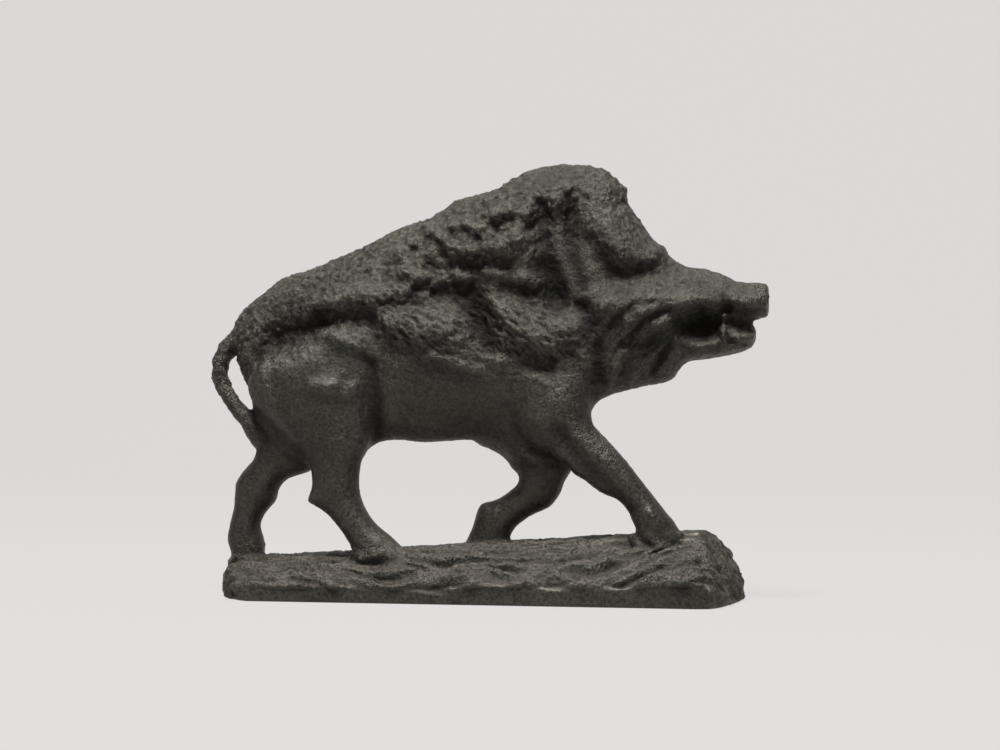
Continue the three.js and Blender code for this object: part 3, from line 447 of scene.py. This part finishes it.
def inset(ring, u, v):
    """A smooth stand-in for the distance to a ring, above zero inside: two over its mean value weights."""
    total = np.zeros_like(u)
    ax = ring[-1][0] - u
    ay = ring[-1][1] - v
    a = np.maximum(np.hypot(ax, ay), TINY)
    for x, y in ring:
        bx = x - u
        by = y - v
        b = np.maximum(np.hypot(bx, by), TINY)
        facing = np.maximum(a * b + ax * bx + ay * by, TINY)
        total += (1 / a + 1 / b) * (ax * by - ay * bx) / facing
        ax, ay, a = bx, by, b
    return 2 / total


def nearest(path, u, v):
    """Distance to a path of straight pieces, and the path's third number at the nearest place."""
    best = np.full(np.shape(u), np.inf)
    third = np.zeros(np.shape(u))
    for (au, av, a), (bu, bv, b) in zip(path, path[1:]):
        du = bu - au
        dv = bv - av
        share = np.clip(((u - au) * du + (v - av) * dv) / (du * du + dv * dv), 0, 1)
        distance = np.hypot(u - au - share * du, v - av - share * dv)
        closer = distance < best
        best = np.where(closer, distance, best)
        third = np.where(closer, a + share * (b - a), third)
    return best, third


def stroke(path, height, u, v):
    """The height of a stroke of carving, which is rounded across and lower where it is narrower."""
    distance, width = nearest(path, u, v)
    widest = max(point[2] for point in path)
    return height * (width / widest) * np.exp(-((distance / width) ** 2))


def lump(u, v, radius, height):
    """The height of a round lump, or of a pit where it is below zero."""
    return height * np.exp(-(u * u + v * v) / radius**2)


def padded(swell, inset_here, off):
    """Depth in a padded shape, by the distance in from its outline and off its middle plane."""
    return np.maximum(OUTSIDE, (2 * swell * inset_here - off * off) / (2 * np.hypot(swell, off)))


def carved(x, z):
    """The height of the carving on the near and on the far flank."""
    both = sum(stroke(path, height, x, z) for path, height in CARVING.values())
    for tuft_x, tuft_z, radius in TUFTS:
        both = both + lump(x - tuft_x, z - tuft_z, radius, TUFT["height"] * radius)
        hollow_z = tuft_z - TUFT["hollow_below"] * radius
        hollow_radius = TUFT["hollow_radius"] * radius
        both = both + lump(x - tuft_x, z - hollow_z, hollow_radius, -TUFT["hollow_depth"] * radius)
    for pit_x, pit_z, radius in PITS:
        both = both + lump(x - pit_x, z - pit_z, radius, -PIT_DEPTH * radius)
    near = sum(stroke(path, height, x, z) for path, height in NEAR_CARVING.values())
    return both + near, both


def band_top(x):
    """The height of the upright band round the ground's foot."""
    return BAND["rear"] + BAND["rise"] * (x - GROUND_REAR)


def crown_top(x):
    """The height of the ground along its middle."""
    return CROWN["rear"] + CROWN["rise"] * (x - GROUND_REAR)


def ground(ring, x, y, z):
    """Depth in the ground, a slab with bowed ends, an upright band round its foot and a rough domed top."""
    across = np.full_like(x, y)
    lean = np.where(
        x > 0,
        FRONT_END["bend"] * (z - FRONT_END["widest"]) ** 2,
        -REAR_END["bend"] * (z - REAR_END["widest"]) ** 2,
    )
    plan = inset(ring, x + lean, across) - SIDE_DRAFT * z
    dome = 1 - min(1, abs(y) / GROUND_HALF_DEPTH) ** 2
    top = band_top(x) + (crown_top(x) - band_top(x)) * dome
    top = top + sum(stroke(path, height, x, across) for path, height in GROUND_CARVING)
    return np.minimum(common(top - z, plan, GROUND_EDGE_BLEND), z)


def snout_disc(x, y, z):
    """Depth in the flat round disc at the end of the snout."""
    return common(
        DISC["radius"] - np.hypot(y, z - DISC["z"]),
        DISC["half_length"] - np.abs(x - DISC["x"]),
        DISC["round"],
    )


def outside_nostrils(x, y, z):
    """Above zero everywhere but in the two nostrils, which are balls let into the front of the disc."""
    front = DISC["x"] + DISC["half_length"]
    away = np.sqrt((x - front) ** 2 + (abs(y) - NOSTRIL["y"]) ** 2 + (z - NOSTRIL["z"]) ** 2)
    return away - NOSTRIL["radius"]


def sample():
    """The field on a grid: its values, and the millimetres of its first point."""
    xs, ys, zs = (np.arange(low, high, CELL) for low, high in zip(BOX_LOW, BOX_HIGH))
    x, z = np.meshgrid(xs, zs, indexing="ij")
    insets = {name: inset(smooth_ring(outline), x, z) for name, (_, _, outline) in SHAPES.items()}
    ear = inset(smooth_ring(EAR_OUTLINE), x, z)
    ear_middle = EAR_FOOT["y"] - EAR_LEAN * (z - EAR_FOOT["z"])
    ground_ring = smooth_ring(GROUND_OUTLINE)
    tail_distance, tail_radius = nearest(TAIL, x, z)
    near_carving, far_carving = carved(x, z)
    low = zs < crown_top(BOX_HIGH[0]) + FOOT_BLEND_REACH
    values = np.empty((len(xs), len(ys), len(zs)), np.float32)
    for j, y in enumerate(ys):
        iron = np.full_like(x, OUTSIDE)
        for name, (middle, swell, _) in SHAPES.items():
            iron = join(iron, padded(swell, insets[name], y - middle), LIMB_BLEND)
        iron = join(iron, tail_radius - np.hypot(tail_distance, y), TAIL_BLEND)
        iron = join(iron, padded(EAR_SWELL, ear, abs(y) - ear_middle), EAR_BLEND)
        shown = smoothstep(abs(y), CARVING_FROM, CARVING_FULL)
        iron = iron + shown * (near_carving if y < 0 else far_carving)
        iron = join(iron, snout_disc(x, y, z), DISC["round"])
        iron = common(iron, outside_nostrils(x, y, z), NOSTRIL["round"])
        iron[:, low] = join(iron[:, low], ground(ground_ring, x[:, low], y, z[:, low]), FOOT_BLEND)
        values[:, j] = iron
    return values, np.array([xs[0], ys[0], zs[0]])


def surface_net(values):
    """The surface where the values are zero, as points in grid steps and quads that face outwards.

    Each line of the grid that crosses the surface gives a quad between the four cells round it, and each
    cell's point is the mean of the crossings on its edges.
    """
    inside = values > 0
    cells = np.array(values.shape) - 1
    strides = np.array([cells[1] * cells[2], cells[2], 1])
    total = np.zeros((cells.prod(), 3))
    count = np.zeros(cells.prod())
    crossings = []
    for axis in range(3):
        second = (axis + 1) % 3
        third = (axis + 2) % 3
        from_side = [slice(None)] * 3
        from_side[axis] = slice(None, -1)
        to_side = [slice(None)] * 3
        to_side[axis] = slice(1, None)
        crossed = inside[tuple(from_side)] != inside[tuple(to_side)]
        for flat in (second, third):
            for end in (slice(0, 1), slice(-1, None)):
                rim = [slice(None)] * 3
                rim[flat] = end
                crossed[tuple(rim)] = False
        at = np.argwhere(crossed)
        start = values[tuple(from_side)][crossed]
        stop = values[tuple(to_side)][crossed]
        point = at.astype(float)
        point[:, axis] += start / (start - stop)
        ring = []
        for back_second, back_third in ((1, 1), (0, 1), (0, 0), (1, 0)):
            cell = at.copy()
            cell[:, second] -= back_second
            cell[:, third] -= back_third
            index = cell @ strides
            ring.append(index)
            count += np.bincount(index, minlength=len(count))
            for k in range(3):
                total[:, k] += np.bincount(index, weights=point[:, k], minlength=len(count))
        quads = np.stack(ring, 1)
        outward = start > 0
        crossings.append(np.where(outward[:, None], quads, quads[:, ::-1]))
    used = np.flatnonzero(count)
    number = np.full(len(count), -1)
    number[used] = np.arange(len(used))
    return total[used] / count[used, None], number[np.concatenate(crossings)]


def summed(indices, weights, length):
    """The weights, one row each, summed by index."""
    columns = [np.bincount(indices, weights=column, minlength=length) for column in weights.T]
    return np.stack(columns, 1)


def vertex_normals(points, quads):
    """The direction that the surface faces at each vertex."""
    diagonal = points[quads[:, 2]] - points[quads[:, 0]]
    other_diagonal = points[quads[:, 3]] - points[quads[:, 1]]
    normal = np.cross(diagonal, other_diagonal)
    total = sum(summed(quads[:, corner], normal, len(points)) for corner in range(4))
    return total / np.maximum(np.linalg.norm(total, axis=1), TINY)[:, None]


def hollows(points, quads, normals):
    """How far each vertex lies below the surface round it, in millimetres: above zero in a hollow."""
    starts = quads.ravel()
    ends = np.roll(quads, -1, 1).ravel()
    neighbours = np.bincount(starts, minlength=len(points))[:, None]
    smooth = points
    for _ in range(SMOOTHINGS):
        smooth = summed(starts, smooth[ends], len(points)) / neighbours
    return np.sum((smooth - points) * normals, axis=1)


class Noise:
    """Gradient noise in space, from about -1 to 1, the same on every run."""

    def __init__(self, seed):
        chance = np.random.default_rng(seed)
        self.order = np.tile(chance.permutation(NOISE_WAYS), 2)
        ways = chance.normal(size=(NOISE_WAYS, 3))
        self.ways = ways / np.linalg.norm(ways, axis=1)[:, None]

    def __call__(self, points):
        cell = np.floor(points).astype(int)
        part = points - cell
        ease = part**3 * (part * (part * 6 - 15) + 10)
        result = np.zeros(len(points))
        for corner in np.ndindex(2, 2, 2):
            i, j, k = ((cell + corner) % NOISE_WAYS).T
            way = self.ways[self.order[self.order[self.order[i] + j] + k]]
            weight = np.prod(np.where(corner, ease, 1 - ease), axis=1)
            result += weight * np.sum(way * (part - corner), axis=1)
        return result * NOISE_STRETCH


def pattern(points, seed, size, height=1):
    """Noise with grains of a size, one number or one for each axis, up to a height."""
    return height * Noise(seed)(points / np.array(size))


def running(points, seed, degrees, long, wide, deep):
    """Noise with a grain that is long along a direction in the flank's plane and narrow across it."""
    cosine = math.cos(math.radians(degrees))
    sine = math.sin(math.radians(degrees))
    x, y, z = points.T
    lengthwise = (x * cosine + z * sine) / long
    crosswise = (z * cosine - x * sine) / wide
    return Noise(seed)(np.stack([lengthwise, y / deep, crosswise], 1))


def strands(noise):
    """Noise drawn up into crests that run along its grain, from about -1 to 1."""
    return 1 - CREST_SHARPNESS * np.abs(noise)


def spot(points, x, z, wide, high):
    """A soft mask round a place on the flanks, one in its middle."""
    return np.exp(-(((points[:, 0] - x) / wide) ** 2) - ((points[:, 2] - z) / high) ** 2)


def ground_ends(points, normals):
    """A mask of the ground's two end faces, where the earth runs down to the foot."""
    return smoothstep(np.abs(normals[:, 0]), *FACING_END) * smoothstep(np.abs(points[:, 0]), *END_FADE)


def smoother(points):
    """Where the casting is smoother, from 0 to 1: on the haunch, the lower flank, the legs and the band."""
    x, _, z = points.T
    above_band = z - band_top(x)
    places = spot(points, *HAUNCH) + spot(points, *LOWER_FLANK) + 1 - smoothstep(z, *BODY_FADE)
    on_top = smoothstep(above_band, *EARTH_FADE) * (1 - smoothstep(above_band, *ABOVE_EARTH_FADE))
    return np.clip(places - on_top, 0, 1)


def coarseness(points):
    """How strong the grain of the sand mould shows at each vertex."""
    return 1 - SMOOTHED_GRAIN * smoother(points)


def animal_relief(points, rough, animal):
    """How far fur, locks and grain push each vertex of the animal out."""
    x, _, z = points.T
    patterns = {
        "rough": rough,
        "fine": pattern(points, **FINE),
        "uneven": pattern(points, **UNEVEN),
        "lumps": pattern(points, **LUMPS),
        "bristles": running(points, **BRISTLES),
        "fur": strands(running(points, **FUR)),
        "cheek fur": strands(running(points, **CHEEK_FUR)),
    }
    places = {
        "everywhere": 1,
        "back": smoothstep(z - BACK_RISE * x, *BACK_FADE) * animal,
        "ribs": np.clip(spot(points, *RIBS) + spot(points, *SHOULDER), 0, 1) * animal,
        "mane": spot(points, *MANE) * animal,
        "cheek": spot(points, *CHEEK) * animal,
        "head": smoothstep(x, *HEAD_FADE_X) * smoothstep(z, *HEAD_FADE_Z),
    }
    push = 0
    for place, share in places.items():
        push = push + share * sum(height * patterns[name] for name, height in RELIEF[place].items())
    return push * (1 - SMOOTHED_RELIEF * smoother(points))


def ground_relief(points, normals, rough):
    """How far streaks and clods push each vertex of the ground out, above its smoother band."""
    x, y, z = points.T
    across = y - FLOW_BEND * x * x + pattern(points, **FLOW_WANDER)
    bent = np.stack([x, across, z], 1)
    earth = 0
    for streaks in (FLOWS, RILLS):
        noise = pattern(bent, streaks["seed"], streaks["size"])
        earth = earth + streaks["height"] * strands(noise)
    earth = earth + pattern(points, **CLODS) + EARTH_ROUGHNESS * rough
    edge = band_top(x) + pattern(points, **EDGE_WANDER) + EDGE_ROUGHNESS * rough
    open_earth = np.maximum(smoothstep(z - edge, *EARTH_EDGE_FADE), ground_ends(points, normals))
    return open_earth * (EARTH_HEIGHT + earth) + BAND_ROUGHNESS * rough


def relief(points, normals):
    """How far each vertex is pushed out in all. The flat underside stays as it is."""
    x, _, z = points.T
    on_ground = 1 - smoothstep(z - crown_top(x), *RELIEF_FADE)
    rough = pattern(points, **ROUGH)
    animal = 1 - on_ground
    push = animal_relief(points, rough, animal) * animal + on_ground * ground_relief(points, normals, rough)
    return push * smoothstep(z, *UNDERSIDE_FADE)


def dust(points, normals):
    """How much dust lies on each vertex: where it faces up, most on the ground."""
    x, _, z = points.T
    on_ground = 1 - smoothstep(z - crown_top(x), *DUST_FADE)
    ends = ground_ends(points, normals)
    earth = on_ground * np.maximum(smoothstep(z - band_top(x), *EARTH_FADE), ends)
    up = smoothstep(normals[:, 2], *FACING_UP)
    patches = 0.5 + pattern(points, **DUST_PATCHES)
    on_animal = DUST_ON_BACK * smoothstep(z, *DUSTY_BACK_FADE) * up
    on_earth = DUST_ON_EARTH["all over"] + DUST_ON_EARTH["facing up"] * up + DUST_ON_EARTH["ends"] * ends
    patchy = DUST_BETWEEN_PATCHES + DUST_IN_PATCHES * patches
    return np.clip((on_animal + earth * on_earth) * patchy, 0, 1)


def sculpted():
    """The figure's fine mesh, in metres, with attributes that the iron's finish and its painted shade
    follow.
    """
    values, corner = sample()
    points, quads = surface_net(values)
    points = corner + points * CELL
    normals = vertex_normals(points, quads)
    push = relief(points, normals)
    points = points + normals * push[:, None]
    points[:, 2] = np.maximum(points[:, 2], 0)

    # The relief may shift the outline a little, so the mesh is put back over the middle of the solid.
    low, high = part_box("boar_figure")
    centre = (points.max(0) + points.min(0)) / 2
    points[:, :2] += (np.array(low)[:2] + np.array(high)[:2]) / 2 / MM - centre[:2]
    normals = vertex_normals(points, quads)

    mesh = bpy.data.meshes.new("boar")
    mesh.from_pydata((points * MM).tolist(), [], quads.tolist())
    near, far = carved(points[:, 0], points[:, 2])
    # The hollow and carving amounts also paint shade into the iron's colour: darker in hollows and in
    # carved grooves.
    amounts = {
        "dust": dust(points, normals),
        "hollow": hollows(points, quads, normals),
        "coarseness": coarseness(points),
        "carving": np.where(points[:, 1] < 0, near, far),
    }
    for name, amount in amounts.items():
        mesh.attributes.new(name, "FLOAT", "POINT").data.foreach_set("value", amount.astype(np.float32))
    mesh.shade_smooth()
    return mesh


def connect(tree, value, socket):
    """Link a socket to an input, or set the input to a plain value."""
    if isinstance(value, bpy.types.NodeSocket):
        tree.links.new(value, socket)
    else:
        socket.default_value = value


def node(tree, kind, inputs=None, **settings):
    """A new node with its settings and inputs."""
    made = tree.nodes.new(kind)
    for name, value in settings.items():
        setattr(made, name, value)
    for name, value in (inputs or {}).items():
        connect(tree, value, made.inputs[name])
    return made


def ramp(tree, fac, stops):
    """A colour ramp: stops are a place from 0 to 1 and a colour."""
    made = node(tree, "ShaderNodeValToRGB", {"Fac": fac})
    points = made.color_ramp.elements
    while len(points) < len(stops):
        points.new(0.5)
    for point, (place, colour) in zip(points, stops):
        point.position = place
        point.color = (*colour, 1)
    return made.outputs["Color"]


def mixed(tree, blend, factor, a, b):
    """Two colours mixed. The mix node's sockets go by number, because its colour ones share their names."""
    made = node(tree, "ShaderNodeMix", data_type="RGBA", blend_type=blend)
    for index, value in ((0, factor), (6, a), (7, b)):
        connect(tree, value, made.inputs[index])
    return made.outputs[2]


def times(tree, a, b):
    """A colour multiplied by another colour or by a number."""
    return mixed(tree, "MULTIPLY", 1.0, a, b)


def math_node(tree, operation, a, b):
    """The result of a sum or a product of two numbers."""
    return node(tree, "ShaderNodeMath", {0: a, 1: b}, operation=operation).outputs[0]


def scaled(tree, value, ranges):
    """A number mapped from one range to another, and held inside it."""
    from_low, from_high, to_low, to_high = ranges
    inputs = {
        "Value": value,
        "From Min": from_low,
        "From Max": from_high,
        "To Min": to_low,
        "To Max": to_high,
    }
    return node(tree, "ShaderNodeMapRange", inputs).outputs["Result"]


def texture(tree, place, looks):
    """A noise texture, from 0 to 1: its looks are a scale, a detail and a roughness."""
    scale, detail, rough = looks
    inputs = {"Vector": place, "Scale": scale, "Detail": detail, "Roughness": rough}
    return node(tree, "ShaderNodeTexNoise", inputs).outputs["Fac"]


def attribute(tree, name):
    """An amount that the mesh keeps at each vertex."""
    return node(tree, "ShaderNodeAttribute", attribute_name=name).outputs["Fac"]


def bumped(tree, height, strength, distance, normal=None):
    """A surface normal turned by a bump, on top of another bump where one is given."""
    made = node(tree, "ShaderNodeBump", {"Height": height, "Strength": strength, "Distance": distance})
    if normal is not None:
        connect(tree, normal, made.inputs["Normal"])
    return made.outputs["Normal"]


def cast_iron():
    """Dark bare iron, dull satin and grainy, with greyish brown dust where it faces up, and painted shade
    darkening its hollows and carved grooves.
    """
    material = bpy.data.materials.new("cast_iron")
    material.use_nodes = True
    tree = material.node_tree
    shader = tree.nodes["Principled BSDF"]
    place = node(tree, "ShaderNodeTexCoord").outputs["Object"]
    clouds = texture(tree, place, CLOUDS)
    grain = texture(tree, place, GRAIN)
    pitting = texture(tree, place, PITTING)
    hollow = attribute(tree, "hollow")
    coarse = attribute(tree, "coarseness")

    iron = ramp(tree, clouds, list(zip(CLOUDS_BETWEEN, (IRON_DARK, IRON_LIGHT))))
    specks = ramp(tree, grain, list(zip(SPECKS_BETWEEN, (DARK_SPECKS, LIGHT_SPECKS))))
    iron = times(tree, iron, specks)
    # Painted shade: the colour is darkened in hollows, and crests are lightened as wear.
    iron = times(tree, iron, scaled(tree, hollow, PAINTED_SHADE_AND_WEAR_BY_HOLLOW))
    # Painted shade: the colour is darkened in carved grooves.
    iron = times(tree, iron, scaled(tree, attribute(tree, "carving"), PAINTED_SHADE_BY_CARVING))
    powder = times(tree, (*DUST, 1), specks)
    cover = math_node(tree, "MULTIPLY", attribute(tree, "dust"), scaled(tree, grain, DUST_BY_GRAIN))
    colour = mixed(tree, "MIX", cover, iron, powder)
    tree.links.new(colour, shader.inputs["Base Color"])

    roughness = scaled(tree, grain, ROUGHNESS_BY_GRAIN)
    roughness = math_node(tree, "ADD", roughness, scaled(tree, hollow, ROUGHNESS_BY_HOLLOW))
    roughness = math_node(tree, "ADD", roughness, scaled(tree, coarse, ROUGHNESS_BY_COARSENESS))
    tree.links.new(roughness, shader.inputs["Roughness"])
    shader.inputs["Metallic"].default_value = METALLIC

    pits = bumped(tree, pitting, coarse, PITTING_BUMP)
    tree.links.new(bumped(tree, grain, coarse, GRAIN_BUMP, pits), shader.inputs["Normal"])
    return material


def lit_paper():
    """Paper with a light behind it, so that floor and wall are the same even tone."""
    material = bpy.data.materials.new("lit_paper")
    material.use_nodes = True
    shader = material.node_tree.nodes["Principled BSDF"]
    shader.inputs["Base Color"].default_value = (*PAPER, 1)
    shader.inputs["Roughness"].default_value = 1
    shader.inputs["Specular IOR Level"].default_value = 0
    shader.inputs["Emission Color"].default_value = (*PAPER_GLOW, 1)
    shader.inputs["Emission Strength"].default_value = PAPER_GLOW_STRENGTH
    return material


def link(name, data):
    """A new object with this data, put into the scene."""
    made = bpy.data.objects.new(name, data)
    bpy.context.scene.collection.objects.link(made)
    return made


def aimed(thing, place, target):
    """Put a light or a camera at a place and turn it towards its target."""
    thing.location = place
    thing.rotation_euler = (Vector(target) - Vector(place)).to_track_quat("-Z", "Y").to_euler()


def make_boar():
    """The whole casting as one piece, thinned out, in place of its plain solid."""
    mesh = sculpted()
    mesh.materials.append(cast_iron())
    boar = link("cast_boar", mesh)
    thinned = boar.modifiers.new("thin", "DECIMATE")
    thinned.ratio = min(1.0, FACES / (2 * len(mesh.polygons)))
    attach(boar, "root")
    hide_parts("boar_figure")


def make_floor():
    """A pale paper sweep: flat under the figure, then curving up behind it."""
    profile = [(-FLOOR_FRONT, 0.0), (FLOOR_BACK, 0.0)]
    for step in range(1, SWEEP_STEPS + 1):
        turn = math.radians(90 * step / SWEEP_STEPS)
        profile.append((FLOOR_BACK + SWEEP_RADIUS * math.sin(turn), SWEEP_RADIUS * (1 - math.cos(turn))))
    profile.append((FLOOR_BACK + SWEEP_RADIUS, WALL_TOP))
    points = [(side * FLOOR_HALF_WIDTH, y, z) for y, z in profile for side in (-1, 1)]
    quads = [(2 * i, 2 * i + 1, 2 * i + 3, 2 * i + 2) for i in range(len(profile) - 1)]
    mesh = bpy.data.meshes.new("sweep")
    mesh.from_pydata(points, [], quads)
    mesh.shade_smooth()
    mesh.materials.append(lit_paper())
    link("sweep", mesh)


def make_lights():
    """The room's even light, and one soft light above the figure's near side."""
    world = bpy.data.worlds.new("studio")
    world.use_nodes = True
    background = world.node_tree.nodes["Background"]
    background.inputs["Color"].default_value = (*WORLD_COLOUR, 1)
    background.inputs["Strength"].default_value = WORLD_STRENGTH
    bpy.context.scene.world = world
    data = bpy.data.lights.new("top", "AREA")
    data.shape = "RECTANGLE"
    data.size, data.size_y = TOP_LIGHT["size"]
    data.energy = TOP_LIGHT["watts"]
    aimed(link("top", data), TOP_LIGHT["place"], TOP_LIGHT_AIM)


def make_camera():
    """The camera, level and where the photograph was taken from."""
    data = bpy.data.cameras.new("camera")
    data.lens = LENS
    data.clip_start = CAMERA_SEES_FROM
    data.clip_end = CAMERA_SEES_TO
    camera = link("camera", data)
    turn = math.radians(CAMERA_AZIMUTH)
    place = (
        CAMERA_AIM_X + CAMERA_DISTANCE * math.sin(turn),
        -CAMERA_DISTANCE * math.cos(turn),
        CAMERA_HEIGHT,
    )
    aimed(camera, place, (CAMERA_AIM_X, 0, CAMERA_HEIGHT))
    bpy.context.scene.camera = camera


make_boar()
make_floor()
make_lights()
make_camera()
bpy.context.scene.view_settings.view_transform = "Standard"
